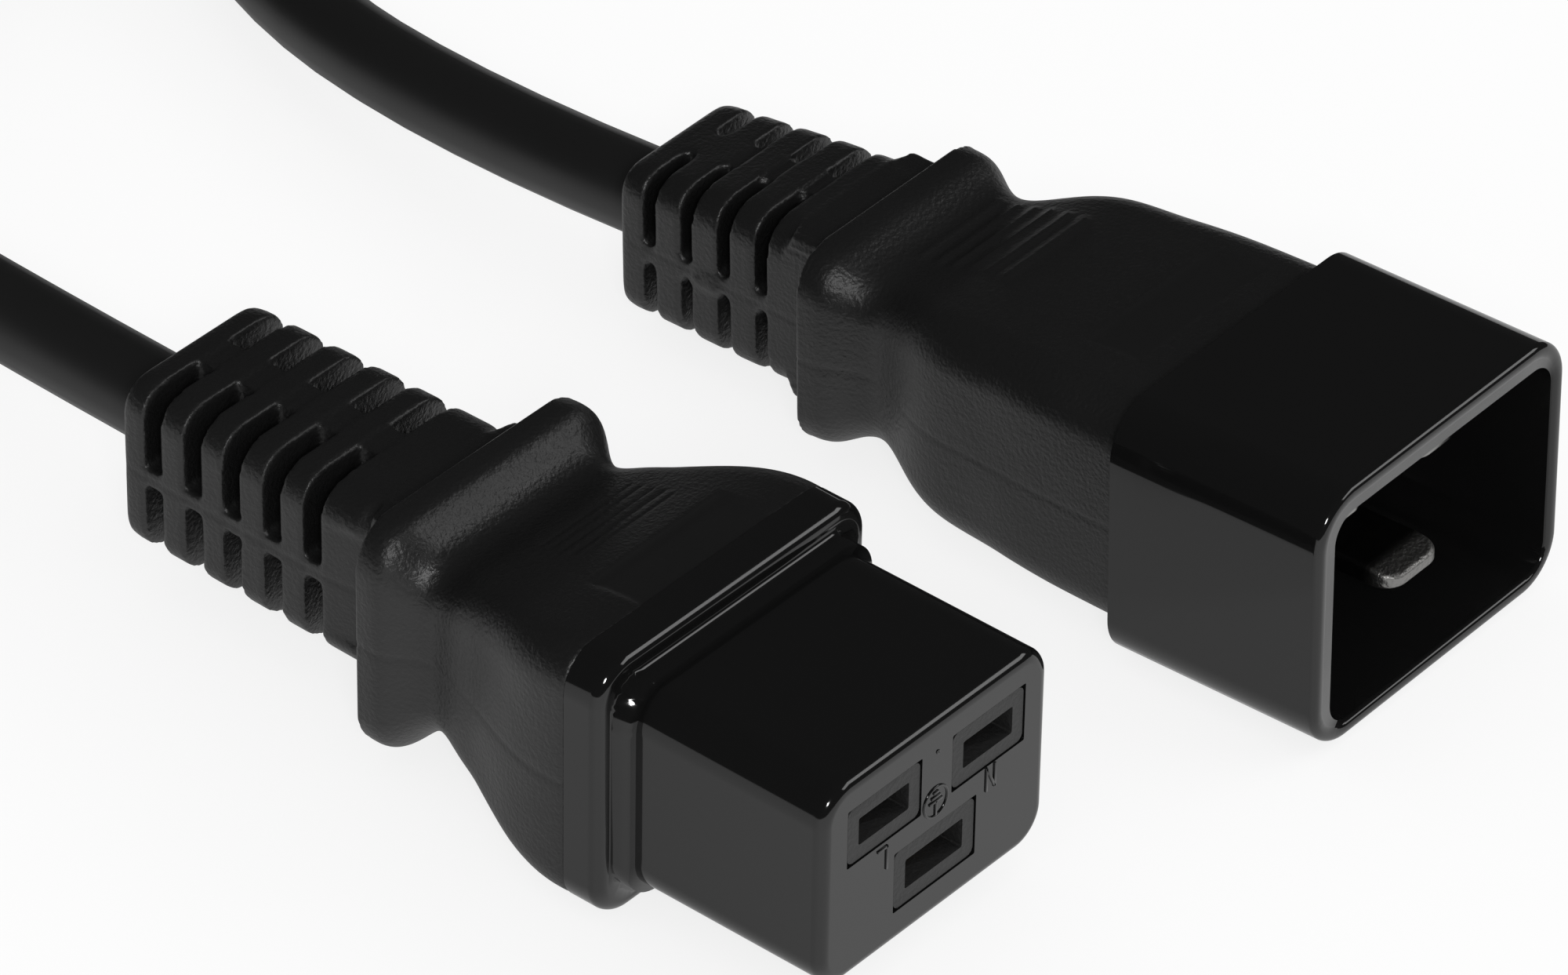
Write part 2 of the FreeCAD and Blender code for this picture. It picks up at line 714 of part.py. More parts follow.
def skin(stations):
    """A solid of smooth rounded-rectangle sections, given as (ahead, width, height, corner)."""
    places = [station[0] for station in stations]
    tracks = []
    for quarter in range(4):
        across, up = ((1, -1), (1, 1), (-1, 1), (-1, -1))[quarter]
        enter, apex, leave = [], [], []
        for ahead, width, height, corner in stations:
            tip = Vector(ahead, across * width / 2, up * height / 2)
            to_side = Vector(0, 0, -up * corner)
            to_end = Vector(0, -across * corner, 0)
            before, after = (to_end, to_side) if quarter % 2 == 0 else (to_side, to_end)
            enter.append(tip + before)
            apex.append(tip)
            leave.append(tip + after)
        tracks.append([enter, apex, leave])

    def lengthwise(points):
        curve = Part.BSplineCurve()
        curve.interpolate(Points=points, Parameters=places)
        return curve

    def patch(rails, weights, knots, degree):
        curves = [lengthwise(rail) for rail in rails]
        surface = Part.BSplineSurface()
        surface.buildFromPolesMultsKnots(
            [curve.getPoles() for curve in curves],
            knots, curves[0].getMultiplicities(), [0, 1], curves[0].getKnots(),
            False, False, degree, 3,
            [[weight] * curves[0].NbPoles for weight in weights],
        )
        return surface.toShape()

    faces, ends = [], ([], [])
    for quarter, (enter, apex, leave) in enumerate(tracks):
        following = tracks[(quarter + 1) % 4][0]
        faces.append(patch([enter, apex, leave], [1, math.sqrt(0.5), 1], [3, 3], 2))
        faces.append(patch([leave, following], [1, 1], [2, 2], 1))
        for index, edges in zip((0, -1), ends):
            radius = (apex[index] - enter[index]).Length
            heart = enter[index] + leave[index] - apex[index]
            middle = heart + (apex[index] - heart).normalize() * radius
            edges.append(Part.Arc(enter[index], middle, leave[index]).toShape())
            edges.append(Part.LineSegment(leave[index], following[index]).toShape())
    faces += [Part.Face(Part.Wire(edges)) for edges in ends]
    shell = Part.makeShell(faces)
    shell.sewShape()
    solid = Part.Solid(shell)
    if solid.Volume < 0:
        solid.reverse()
    return solid


def marked(shape, stations, mark, count=1, pitch=0.0):
    """Sinks marks into the top of a grip, or raises them, by the same depth all over its curves."""
    gap, length, width, aside, rise = [
        size(mark + side) for side in ("_gap", "_length", "_width", "_aside", "_rise")
    ]
    front, _, height, _ = stations[-1]
    blocks = Part.Compound([
        Part.makeBox(length, width, height, Vector(front - gap - length - turn * pitch, aside - width / 2, 0))
        for turn in range(int(count))
    ])
    level = skin([
        [ahead, wide + 2 * rise, high + 2 * rise, corner + rise] for ahead, wide, high, corner in stations
    ])
    return shape.fuse(blocks.common(level)) if rise > 0 else shape.cut(blocks.cut(level))


def make_form(name, foot, end, front, root, shoulder, waist, nose, flare, prefix):
    """The outside of an overmould: a tapered strain relief, a shoulder, a waist and a flared grip."""
    body = new_body(name + "_relief")
    relief_root = rounded_sketch(body, "relief_root", "-" + foot, *root)
    relief = pad(body, "relief", relief_root, "sizes.%srelief_length" % prefix)
    bind(relief, TaperAngle="-sizes.%srelief_taper" % prefix)
    round_edges(body, "relief_edge", relief, "sizes.relief_round", at_station(-worth(end)))
    start, stop = -worth(foot), -worth(front)
    hollow = start + size(prefix + "shoulder_length")
    root, shoulder, waist, nose = [[worth(side) for side in girths]
                                   for girths in (root, shoulder, waist, nose)]
    stations = []
    for base, shares in ((root, SHOULDER_RISE), (waist, SHOULDER_FALL)):
        for along, share in shares:
            sides = [a + (b - a) * share for a, b in zip(base, shoulder)]
            stations.append([start + (hollow - start) * along] + sides)
    for along, share in flare:
        sides = [a + (b - a) * share for a, b in zip(waist, nose)]
        stations.append([hollow + (stop - hollow) * along] + sides)
    grip = doc.addObject("Part::Feature", name + "_grip")
    labelled = marked(skin(stations), stations, prefix + "label")
    lines = prefix + "line"
    grip.Shape = marked(labelled, stations, lines, size(lines + "_count"), size(lines + "_pitch"))
    return fused(name, [body, grip])


def make_slots(name, end, prefix):
    """Cutters for the relief's slots: four quarters at each station, round a sleeve on the cord."""
    quarters = []
    reach_across = "(sizes.%srelief_width / 2 + sizes.slot_width - sizes.spine_width / 2)" % prefix
    reach_up = "(sizes.%srelief_height / 2 + sizes.slot_width - sizes.bar_height / 2)" % prefix
    spine, bar = worth("sizes.spine_width / 2"), worth("sizes.bar_height / 2")
    radius = size(prefix + "slot_round")
    for station in range(int(size(prefix + "slot_count"))):
        for across in (1, -1):
            for up in (1, -1):
                box = doc.addObject("Part::Box", "%s_%d" % (name, len(quarters)))
                behind = "%d * sizes.%sslot_pitch - sizes.slot_width / 2" % (station, prefix)
                bind(
                    box,
                    Length="sizes.slot_width",
                    Width=reach_across,
                    Height=reach_up,
                    Placement__Base__x="-%s + sizes.%sslot_first + %s" % (end, prefix, behind),
                    Placement__Base__y="sizes.spine_width / 2" if across > 0
                    else "-sizes.spine_width / 2 - " + reach_across,
                    Placement__Base__z="sizes.bar_height / 2" if up > 0
                    else "-sizes.bar_height / 2 - " + reach_up,
                )
                doc.recompute()
                ends = []
                for index, edge in enumerate(box.Shape.Edges, start=1):
                    bounds = edge.BoundBox
                    beside_spine = bounds.ZLength > 1 and abs(abs(bounds.YMin) - spine) < 1e-3
                    beside_bar = bounds.YLength > 1 and abs(abs(bounds.ZMin) - bar) < 1e-3
                    if beside_spine or beside_bar:
                        ends.append((index, radius, radius))
                rounded = doc.addObject("Part::Fillet", box.Name + "_rounded")
                rounded.Base = box
                rounded.Edges = ends
                quarters.append(rounded)
    sleeve = doc.addObject("Part::Cylinder", name + "_sleeve")
    bind(
        sleeve,
        Radius="sizes.jacket_diameter / 2 + sizes.sleeve_wall",
        Height=end,
        Placement__Base__x="-" + end,
    )
    sleeve.Placement.Rotation = Rotation(Vector(0, 1, 0), 90)
    return boolean("Part::Cut", name, fused(name + "_quarters", quarters), sleeve)


def make_hollow(name, end, pocket_outline, pocket_front, pocket_back):
    """What the overmould is moulded round: the carrier's tail, the three cores and the cord."""
    tail = new_body(name + "_tail")
    outline = rounded_sketch(tail, name + "_tail_outline", "-" + pocket_front, *pocket_outline)
    pad(tail, name + "_tail_block", outline, "%s + sizes.fit_gap - %s" % (pocket_back, pocket_front))
    length = CONNECTOR_END if end == "connector" else PLUG_END
    cord = doc.addObject("Part::Cylinder", name + "_cord")
    bind(
        cord,
        Radius=CORD_BORE + " / 2",
        Height="sizes.jacket_insert + sizes.fit_gap",
        Placement__Base__x="-%s - sizes.fit_gap" % length,
    )
    cord.Placement.Rotation = Rotation(Vector(0, 1, 0), 90)
    channels = [tail, cord]
    for pole in POLES:
        channel = doc.addObject("Part::Feature", "%s_%s_channel" % (name, pole))
        channel.Shape = tube(core_route(pole, end, 0), worth("sizes.core_diameter + sizes.fit_gap"))
        channels.append(channel)
    if end == "plug":
        for pole in POLES:
            aside, rise, family, _ = POLES[pole]
            room = doc.addObject("Part::Box", "%s_%s_barrel_room" % (name, pole))
            width = "(sizes.%s_pin_width + 2 * sizes.fit_gap)" % family
            height = "(sizes.barrel_diameter + 2 * sizes.fit_gap)"
            back = "(%s + sizes.neck_length + sizes.barrel_length)" % PIN_BACK
            bind(
                room,
                Length="%s - %s" % (back, PIN_CARRIER_BACK),
                Width=width,
                Height=height,
                Placement__Base__x="-" + back,
                Placement__Base__y="%s - %s / 2" % (aside, width),
                Placement__Base__z="%s - %s / 2" % (rise, height),
            )
            channels.append(room)
    return fused(name, channels)


def make_connector_overmould():
    """Soft grip behind the flange, moulded round the carrier's tail, the cores and the cord."""
    nose = ["sizes.flange_width - 2 * sizes.seam_step", "sizes.flange_height - 2 * sizes.seam_step",
            "sizes.flange_corner - sizes.seam_step"]
    root = ["sizes.relief_width", "sizes.relief_height", "sizes.relief_corner"]
    form = make_form(
        "connector_form", CONNECTOR_FOOT, CONNECTOR_END, FLANGE_BACK, root,
        girth("shoulder"), girth("waist"), nose, CONNECTOR_FLARE, "",
    )
    slots = make_slots("connector_slots", CONNECTOR_END, "")
    pocket_outline = [CARRIER_WIDTH + " + 2 * sizes.fit_gap", CARRIER_HEIGHT + " + 2 * sizes.fit_gap",
                      CARRIER_CORNER]
    hollow = make_hollow("connector_hollow", "connector", pocket_outline, FLANGE_BACK, CARRIER_BACK)
    tools = fused("connector_cuts", [slots, hollow])
    whole = boolean("Part::Cut", "connector_overmould", form, tools)
    return finish_piece(whole, "connector_overmould", "connector")


def make_plug_overmould():
    """Soft grip behind the shroud, moulded round the pin carrier, the cores and the cord."""
    root = ["sizes.plug_relief_width", "sizes.plug_relief_height", "sizes.relief_corner"]
    shoulder = ["sizes.plug_shoulder_width", "sizes.plug_shoulder_height", "sizes.shoulder_corner"]
    waist = ["sizes.plug_waist_width", "sizes.plug_waist_height", "sizes.waist_corner"]
    form = make_form(
        "plug_form", PLUG_FOOT, PLUG_END, "sizes.shroud_length", root,
        shoulder, waist, girth("plug_body"), PLUG_FLARE, "plug_",
    )
    slots = make_slots("plug_slots", PLUG_END, "plug_")
    pocket_outline = ["sizes.pin_carrier_width + 2 * sizes.fit_gap",
                      "sizes.pin_carrier_height + 2 * sizes.fit_gap", "sizes.pin_carrier_corner"]
    hollow = make_hollow(
        "plug_hollow", "plug", pocket_outline, "sizes.shroud_length", PIN_CARRIER_BACK
    )
    tools = fused("plug_cuts", [slots, hollow])
    whole = boolean("Part::Cut", "plug_overmould", form, tools)
    return finish_piece(whole, "plug_overmould", "plug")


# ---------------------------------------------------------------- coil, tie and leads

COIL_LIFT = "(sizes.tie_thickness + sizes.coil_slack + sizes.fit_gap)"


def place_on_coil(piece, label, turn=0):
    piece.Label = label
    bind(
        piece,
        Placement__Base__x="-sizes.coil_behind",
        Placement__Base__y="sizes.coil_beside",
        Placement__Base__z="%s + %s / 2" % (COIL_LIFT, COIL_HEIGHT),
    )
    piece.Placement.Rotation = Rotation(Vector(0, 0, 1), turn)
    PIECES.append(piece)
    return piece


def revolved(body, kind, name, sketch, angle, midplane=False):
    feature = body.newObject(kind, name)
    feature.Profile = sketch
    axis = [f for f in body.Origin.OriginFeatures if f.Role == "Z_Axis"][0]
    feature.ReferenceAxis = (axis, [""])
    feature.Midplane = midplane
    if isinstance(angle, str):
        bind(feature, Angle=angle)
    else:
        feature.Angle = angle
    return feature


def make_coil():
    """The put-away turns of the cord, as one closed ring of their outer shape."""
    body = new_body("cord_coil")
    outline = rounded_sketch(
        body, "turns_outline", "0", COIL_DEPTH, COIL_HEIGHT, "sizes.coil_corner",
        aside="sizes.coil_middle / 2", role="XZ_Plane",
    )
    revolved(body, "PartDesign::Revolution", "turns", outline, 360)
    return place_on_coil(body, "cord_coil")


def make_tie():
    """A strap closed round the turns."""
    body = new_body("cord_tie")
    inner_depth = COIL_DEPTH + " + 2 * sizes.coil_slack"
    inner_height = COIL_HEIGHT + " + 2 * sizes.coil_slack"
    outer = rounded_sketch(
        body, "outside", "0", inner_depth + " + 2 * sizes.tie_thickness",
        inner_height + " + 2 * sizes.tie_thickness", "sizes.coil_corner + sizes.tie_thickness",
        aside="sizes.coil_middle / 2", role="XZ_Plane",
    )
    revolved(body, "PartDesign::Revolution", "strap", outer, "sizes.tie_angle", True)
    inner = rounded_sketch(
        body, "inside", "0", inner_depth, inner_height, "sizes.coil_corner",
        aside="sizes.coil_middle / 2", role="XZ_Plane",
    )
    revolved(body, "PartDesign::Groove", "room", inner, "sizes.tie_angle + sizes.tie_angle", True)
    return place_on_coil(body, "cord_tie", 225)


def lead_start(end):
    """Where the jacket is cut off inside an overmould, and which way is forward there."""
    if end == "connector":
        ahead = "%s / 2 - (%s - sizes.jacket_insert)" % (CONNECTOR_END, CONNECTOR_END)
        return Vector(worth(ahead), 0, worth("sizes.flange_height / 2")), Vector(1, 0, 0)
    mating = plug_axes().multVec(Vector(1, 0, 0))
    origin = Vector(*[worth(place) for place in PLUG_ORIGIN])
    return origin - mating * worth("%s - sizes.jacket_insert" % PLUG_END), mating


# Each lead's points after its first run, which lies on its overmould's axis.
CONNECTOR_LEAD = [Vector(-100.0, 7.0, 7.8), Vector(-132.0, -3.0, 5.2), Vector(-162.0, -9.8, 5.6)]
PLUG_LEAD = [
    Vector(-95.0, 64.0, 5.6),
    Vector(-130.0, 88.4, 8.0),
    Vector(-162.0, 92.0, 13.0),
]


def make_lead(end, points, coil):
    """The stretch of cord between an overmould and the coil, which it meets face to face."""
    start, forward = lead_start(end)
    straight = size("lead_straight" if end == "connector" else "plug_lead_straight")
    points = [start, start - forward * straight] + points
    route, radii = rounded_route(points)
    lead = doc.addObject("Part::Feature", end + "_lead")
    lead.Shape = tube(points, size("jacket_diameter")).cut(coil.Shape)
    lead.Label = "cord_lead_at_" + end
    PIECES.append(lead)
    print(lead.Label, "length", round(route.Length, 1), "radii", [round(r) for r in radii])


def main():
    make_front_housing()
    make_contact_carrier()
    for pole in POLES:
        finish_piece(make_spring_contact(pole), pole + "_contact", "connector", pole)
    make_shroud()
    make_pin_carrier()
    for pole in POLES:
        make_pin(pole)
    for end in ("connector", "plug"):
        for pole in POLES:
            make_core(pole, end)
    make_connector_overmould()
    make_plug_overmould()
    coil = make_coil()
    make_tie()
    doc.recompute()
    make_lead("connector", CONNECTOR_LEAD, coil)
    make_lead("plug", PLUG_LEAD, coil)
    doc.recompute()
    for item in doc.Objects:
        if "Invalid" in item.State or "Error" in item.State:
            raise RuntimeError("%s failed: %s" % (item.Name, item.State))
    os.makedirs("parts", exist_ok=True)
    for piece in PIECES:
        shape = piece.Shape
        if shape.isNull() or not shape.isValid() or len(shape.Solids) != 1:
            raise RuntimeError("%s has no single valid solid" % piece.Label)
        shape.exportStep("parts/%s.step" % piece.Label)
        print(piece.Label, round(shape.Volume, 1), "mm3")


main()
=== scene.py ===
"""Dresses a C19 power connector, its cord and the C20 plug on the cord's far end."""

import contextlib
import math

import bpy
import numpy
from mathutils import Matrix, Vector


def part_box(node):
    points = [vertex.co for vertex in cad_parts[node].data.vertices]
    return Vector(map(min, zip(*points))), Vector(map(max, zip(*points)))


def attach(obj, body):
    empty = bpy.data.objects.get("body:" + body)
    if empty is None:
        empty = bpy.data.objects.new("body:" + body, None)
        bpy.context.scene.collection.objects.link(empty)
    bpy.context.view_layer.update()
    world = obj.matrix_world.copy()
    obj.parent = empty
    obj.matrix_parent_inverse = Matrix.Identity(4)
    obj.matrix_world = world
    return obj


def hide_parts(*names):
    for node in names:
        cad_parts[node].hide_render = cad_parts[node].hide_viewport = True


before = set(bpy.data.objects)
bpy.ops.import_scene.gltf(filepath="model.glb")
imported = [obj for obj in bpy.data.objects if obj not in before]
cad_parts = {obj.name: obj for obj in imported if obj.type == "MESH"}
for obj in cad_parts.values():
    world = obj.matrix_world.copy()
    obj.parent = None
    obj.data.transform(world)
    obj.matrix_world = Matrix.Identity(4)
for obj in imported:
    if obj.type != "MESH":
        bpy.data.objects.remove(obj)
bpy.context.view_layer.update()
MM = 0.001


# ---------------------------------------------------------------- places, from the frame

def span(node):
    """A node's lowest and highest corners, in metres."""
    low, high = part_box(node)
    return Vector(low), Vector(high)


HOUSING_LOW, HOUSING_HIGH = span("front_housing")

# Each end's own axes, from the middle of its front face: x forwards, y across and z up.
# The plug lies turned a little, with its front tipped up.
CONNECTOR_AXES = Matrix.Translation((
    HOUSING_HIGH.x, (HOUSING_LOW.y + HOUSING_HIGH.y) / 2, (HOUSING_LOW.z + HOUSING_HIGH.z) / 2,
))
PLUG_FRONT = Vector((50.25, 55.35, 13.298)) * MM
PLUG_TURN, PLUG_TIP = math.radians(0.9), math.radians(1.6)
PLUG_AXES = (
    Matrix.Translation(PLUG_FRONT)
    @ Matrix.Rotation(PLUG_TURN, 4, "Z")
    @ Matrix.Rotation(-PLUG_TIP, 4, "Y")
)


# ---------------------------------------------------------------- materials

PLASTIC_IOR = 1.53
# At scale 1, a noise node's patches are about half a unit across, and a wave node's bands about
# a third of a unit apart.
NOISE_PATCH = 0.5
WAVE_BAND = 0.3183
# Most of what a noise node gives lies between these.
NOISE_RANGE = (0.3, 0.7)
# The label's field is a polished insert, which leaves this share of the grain.
FIELD_GRAIN = 0.15
# The plug's pins are tumbled from the first to the second of these places behind their tips.
TUMBLED_FROM, TUMBLED_WHOLLY = 3.2 * MM, 2.0 * MM
THREAD_PITCH = 0.5 * MM
# The earth core's stripe, on a 3 mm core, and how far it winds round the core along its length.
STRIPE_WIDTH = 1.6 * MM
STRIPE_WIND = 0.12


def linear(hex_colour):
    """An sRGB hex value as the linear colour that a shader takes."""
    channels = [int(hex_colour[at:at + 2], 16) / 255 for at in (1, 3, 5)]
    return [c / 12.92 if c <= 0.04045 else ((c + 0.055) / 1.055) ** 2.4 for c in channels] + [1.0]


def grey(value):
    """An even grey of a linear value."""
    return [value, value, value, 1.0]


def add_node(tree, kind, settings=None, **sockets):
    """Adds a node. A socket is called by its name, or by its number, as in _0.

    It is given a plain value, or a (node, output) pair to link from.
    """
    node = tree.nodes.new(kind)
    for name, value in (settings or {}).items():
        setattr(node, name, value)
    for name, value in sockets.items():
        socket = node.inputs[int(name[1:]) if name[1:].isdigit() else name.replace("_", " ")]
        if isinstance(value, tuple) and isinstance(value[0], bpy.types.Node):
            tree.links.new(value[0].outputs[value[1]], socket)
        else:
            socket.default_value = value
    return node


def numbered(*values):
    """Values for a node's sockets in their order, as add_node takes them."""
    return {"_%d" % at: value for at, value in enumerate(values)}


def maths(tree, operation, *values):
    return add_node(tree, "ShaderNodeMath", {"operation": operation}, **numbered(*values))


def remapped(tree, value, old_range, new_range):
    """A value taken from one range to another, and held within it."""
    return add_node(tree, "ShaderNodeMapRange", **numbered(value, *old_range, *new_range))


def place_on_piece(tree):
    """The place on the piece, as a pair to link from."""
    return add_node(tree, "ShaderNodeTexCoord"), "Object"


def new_material(name):
    """An empty material with its output, and the tree to build it in."""
    material = bpy.data.materials.new(name)
    material.use_nodes = True
    tree = material.node_tree
    tree.nodes.clear()
    tree.nodes.new("ShaderNodeOutputMaterial")
    return material, tree


def finish_with(tree, shader):
    tree.links.new(shader.outputs[0], tree.nodes["Material Output"].inputs["Surface"])


def finish_as(tree, normal, **sockets):
    """Ends a material with a principled shader over the given bump."""
    finish_with(
        tree, add_node(tree, "ShaderNodeBsdfPrincipled", Normal=(normal, "Normal"), **sockets),
    )


def grain(
    tree, size, depth, roughness=0.5, detail=3.0, normal=None, strength=1.0, stretch=(1, 1, 1),
):
    """A bump of grain: pits about size across and depth deep, both in metres.

    It lies over the given bump. A stretch below 1 draws its pits out along that axis.
    """
    drawn = add_node(
        tree, "ShaderNodeMapping", Vector=place_on_piece(tree), Scale=stretch,
    )
    noise = add_node(
        tree, "ShaderNodeTexNoise", Vector=(drawn, 0), Scale=NOISE_PATCH / size, Detail=detail,
        Roughness=roughness,
    )
    links = {"Height": (noise, "Fac"), "Distance": depth, "Strength": strength}
    if normal is not None:
        links["Normal"] = (normal, "Normal")
    return add_node(tree, "ShaderNodeBump", **links)


def varied(tree, size, low, high):
    """A value that drifts between low and high over patches about size across."""
    noise = add_node(
        tree, "ShaderNodeTexNoise", Vector=place_on_piece(tree), Scale=NOISE_PATCH / size,
        Detail=2.0,
    )
    return remapped(tree, (noise, "Fac"), NOISE_RANGE, (low, high)), "Result"


def inside_field(tree, axes, field):
    """1 inside a label field on top of a grip and 0 outside it, in that end's own axes."""
    centred = add_node(
        tree, "ShaderNodeVectorMath", {"operation": "SUBTRACT"},
        **numbered(place_on_piece(tree), axes.to_translation()),
    )
    turned = add_node(
        tree, "ShaderNodeVectorRotate", {"rotation_type": "EULER_XYZ", "invert": True},
        Vector=(centred, 0), Rotation=axes.to_euler(),
    )
    parts = add_node(tree, "ShaderNodeSeparateXYZ", Vector=(turned, 0))
    along, across = [
        maths(tree, "COMPARE", (parts, axis), (low + high) / 2, (high - low) / 2)
        for axis, (low, high) in zip("XY", field)
    ]
    flat = maths(tree, "MULTIPLY", (along, 0), (across, 0))
    above = maths(tree, "GREATER_THAN", (parts, "Z"), 0.0)
    return maths(tree, "MULTIPLY", (flat, 0), (above, 0)), 0


def soft_pvc(name, axes, field):
    """Injection-moulded flexible PVC. A spark-eroded tool gives it a pebbled, satin skin.

    The label field is a polished insert in that tool, so it comes out smooth.
    """
    material, tree = new_material(name)
    strength = remapped(tree, inside_field(tree, axes, field), (0.0, 1.0), (1.0, FIELD_GRAIN))
    # The tool's pits are nearer 0.1 mm; they are drawn coarser so that they show.
    pits = grain(tree, 0.20 * MM, 0.09 * MM, strength=(strength, "Result"))
    waves = grain(tree, 3.5 * MM, 0.06 * MM, detail=1.0, normal=pits)
    finish_as(
        tree, waves, Base_Color=linear("#131313"), IOR=PLASTIC_IOR,
        Roughness=varied(tree, 7 * MM, 0.36, 0.48),
    )
    return material


def gloss_nylon():
    """Glass-free nylon from a polished tool: a hard black mirror with faint waves."""
    material, tree = new_material("polished_nylon")
    waves = grain(tree, 9 * MM, 0.010 * MM, detail=1.0)
    finish_as(
        tree, waves, Base_Color=linear("#0e0e0e"), IOR=PLASTIC_IOR,
        Roughness=varied(tree, 5 * MM, 0.07, 0.11),
    )
    return material


def matte_nylon():
    """Nylon from a blasted tool: fine even grain with no mirror."""
    material, tree = new_material("blasted_nylon")
    pits = grain(tree, 0.22 * MM, 0.09 * MM)
    finish_as(tree, pits, Base_Color=linear("#1c1c1c"), IOR=PLASTIC_IOR, Roughness=0.55)
    return material


def metal(name, tint, roughness, grain_size, grain_depth):
    """Bare metal with the rolling grain of sheet and bar."""
    material, tree = new_material(name)
    marks = grain(tree, grain_size, grain_depth, roughness=0.7)
    finish_as(tree, marks, Base_Color=linear(tint), Metallic=1.0, Roughness=roughness)
    return material


def nickel_plate(tip_x):
    """Nickel plated on a blanked brass blade: drawn lines along it, and a tumbled, pitted tip."""
    material, tree = new_material("nickel_plate")
    parts = add_node(tree, "ShaderNodeSeparateXYZ", Vector=place_on_piece(tree))
    tumbled = remapped(
        tree, (parts, "X"), (tip_x - TUMBLED_FROM, tip_x - TUMBLED_WHOLLY), (0.0, 1.0),
    )
    lines = grain(tree, 0.10 * MM, 0.006 * MM, roughness=0.7, stretch=(0.06, 1, 1))
    pitted = grain(tree, 0.20 * MM, 0.12 * MM, normal=lines, strength=(tumbled, "Result"))
    dulled = remapped(tree, (tumbled, "Result"), (0.0, 1.0), (0.22, 0.42))
    finish_as(
        tree, pitted, Base_Color=linear("#8f8e8c"), Metallic=1.0, Roughness=(dulled, "Result"),
    )
    return material


def hook_tape():
    """Woven nylon tape of a hook-and-loop tie: ribs across it, and a matt nap."""
    material, tree = new_material("woven_hook_tape")
    warp, weft = [
        add_node(
            tree, "ShaderNodeTexWave", {"wave_type": "BANDS", "bands_direction": direction},
            Vector=place_on_piece(tree), Scale=WAVE_BAND / THREAD_PITCH, Distortion=0.4,
        )
        for direction in ("DIAGONAL", "Z")
    ]
    weave = maths(tree, "MAXIMUM", (warp, "Fac"), (weft, "Fac"))
    threads = add_node(tree, "ShaderNodeBump", Height=(weave, 0), Distance=0.12 * MM)
    nap = grain(tree, 0.12 * MM, 0.05 * MM, normal=threads)
    finish_as(tree, nap, Base_Color=linear("#171717"), IOR=PLASTIC_IOR, Roughness=0.85)
    return material


def insulation(name, tint, stripe=None):
    """Extruded PVC insulation: smooth, with a low sheen, and a second colour along earth cores."""
    material, tree = new_material(name)
    drag = grain(tree, 0.5 * MM, 0.004 * MM)
    colour = linear(tint)
    if stripe:
        parts = add_node(tree, "ShaderNodeSeparateXYZ", Vector=place_on_piece(tree))
        wound = maths(tree, "MULTIPLY_ADD", (parts, "X"), STRIPE_WIND, (parts, "Y"))
        turned = maths(tree, "PINGPONG", (wound, 0), STRIPE_WIDTH)
        banded = maths(tree, "GREATER_THAN", (turned, 0), STRIPE_WIDTH / 2)
        mixed = add_node(
            tree, "ShaderNodeMixRGB", **numbered((banded, 0), linear(tint), linear(stripe)),
        )
        colour = (mixed, 0)
    finish_as(tree, drag, Base_Color=colour, IOR=PLASTIC_IOR, Roughness=0.42)
    return material


def cord_pvc():
    """Extruded PVC jacket: smooth satin, drawn out a little unevenly."""
    material, tree = new_material("extruded_cord_pvc")
    drag = grain(tree, 0.12 * MM, 0.003 * MM)
    finish_as(
        tree, drag, Base_Color=linear("#141414"), IOR=PLASTIC_IOR,
        Roughness=varied(tree, 12 * MM, 0.40, 0.50),
    )
    return material


# The label fields, along and across each end's own axes.
CONNECTOR_FIELD = ((-30.8 * MM, -25.0 * MM), (-7.0 * MM, 9.0 * MM))
PLUG_FIELD = ((-31.5 * MM, -26.0 * MM), (-7.5 * MM, 9.5 * MM))
CONNECTOR_PVC = soft_pvc("moulded_pvc_connector", CONNECTOR_AXES, CONNECTOR_FIELD)
PLUG_PVC = soft_pvc("moulded_pvc_plug", PLUG_AXES, PLUG_FIELD)
GLOSS = gloss_nylon()
MATTE = matte_nylon()
NICKEL = nickel_plate(span("plug_earth_pin")[1].x)
TAPE = hook_tape()
BRASS = metal("rolled_brass", "#d6b26a", 0.22, 0.3 * MM, 0.003 * MM)
COPPER = metal("bunched_copper", "#c8825a", 0.30, 0.2 * MM, 0.02 * MM)
CORD_PVC = cord_pvc()
CORE_TINTS = {"line": "#6b3d21", "neutral": "#1d62b8", "earth": "#7fae2c"}
EARTH_STRIPE = "#d8c31e"
CORES = {
    pole: insulation("core_pvc_" + pole, tint, EARTH_STRIPE if pole == "earth" else None)
    for pole, tint in CORE_TINTS.items()
}


# ---------------------------------------------------------------- making pieces

# Edges sharper than this stay sharp on hard mouldings.
SHARP_EDGE = math.radians(28)
MERGE_DISTANCE = 0.0005 * MM
# In millimetres: a front face takes in what lies this close to the foremost place, a pin's
# thickness is measured this close to its tip, and places this close count as one level.
FRONT_REACH, TIP_REACH, LEVEL_REACH = 0.01, 1.0, 0.01
FLAT_ENOUGH = math.radians(0.2)


def deselect_all():
    bpy.ops.object.select_all(action="DESELECT")


def activate(piece):
    deselect_all()
    piece.select_set(True)
    bpy.context.view_layer.objects.active = piece


def apply_modifier(piece, kind, **settings):
    """Adds one modifier with its settings and applies it."""
    activate(piece)
    modifier = piece.modifiers.new(kind.lower(), kind)
    for name, value in settings.items():
        setattr(modifier, name, value)
    bpy.ops.object.modifier_apply(modifier=modifier.name)


def join(piece, others):
    """Joins other pieces into this one."""
    activate(piece)
    for other in others:
        other.select_set(True)
    bpy.ops.object.join()


def places_of(piece):
    """The x, y and z of a piece's vertices, as arrays in millimetres."""
    places = numpy.empty(3 * len(piece.data.vertices))
    piece.data.vertices.foreach_get("co", places)
    return places.reshape(-1, 3).T / MM


